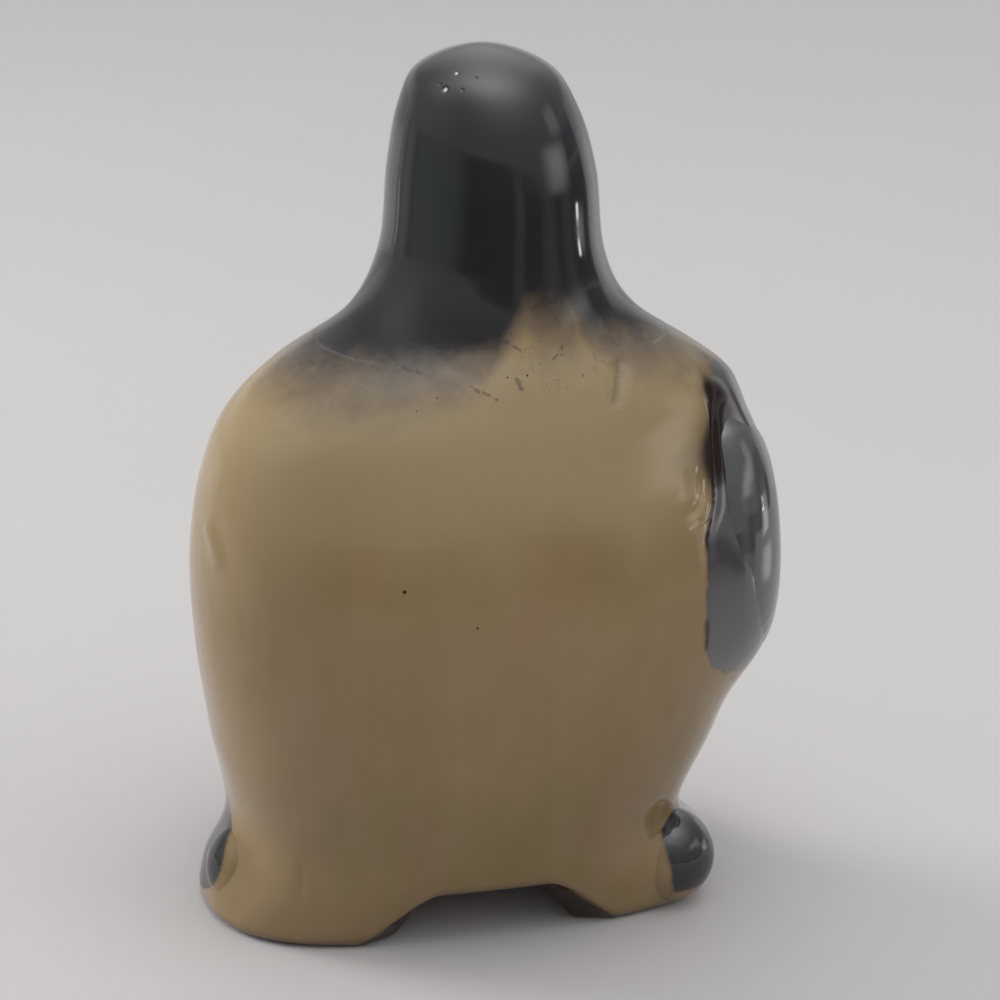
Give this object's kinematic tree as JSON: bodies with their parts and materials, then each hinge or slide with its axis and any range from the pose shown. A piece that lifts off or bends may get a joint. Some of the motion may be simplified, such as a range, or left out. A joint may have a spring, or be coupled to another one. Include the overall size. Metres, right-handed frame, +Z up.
{
  "type": "cat figurine",
  "caption": "Seated cat figurine in glazed ceramic with a dark head and limbs, a broad cream body, a raised forepaw and an arched foot rim.",
  "frame": {"origin": "on the standing plane, under the middle of the overall width and depth", "axes": "+Z up, -Y the way the cat faces, +X the cat's left side"},
  "size_m": [0.0866, 0.0774, 0.13],
  "materials": {
    "cream_glaze": "gloss cream glaze with brown pooling",
    "dark_glaze": "gloss near-black brown glaze",
    "blue_glaze": "gloss pale blue glaze",
    "nose_glaze": "gloss brown-black glaze",
    "bare_clay": "unglazed fired clay"
  },
  "bodies": {
    "root": {"body_shell": "cream_glaze", "base_plate": "bare_clay", "head_shell": "dark_glaze", "muzzle": "dark_glaze", "nose": "nose_glaze", "eye_left": "blue_glaze", "eye_right": "blue_glaze", "ear_left": "dark_glaze", "ear_right": "dark_glaze", "foreleg_left": "dark_glaze", "foreleg_right": "dark_glaze", "forepaw_left": "dark_glaze", "forepaw_right": "dark_glaze", "thigh_left": "cream_glaze", "thigh_right": "cream_glaze", "hind_foot_left": "dark_glaze", "hind_foot_right": "dark_glaze", "tail": "dark_glaze"}
  },
  "joints": []
}
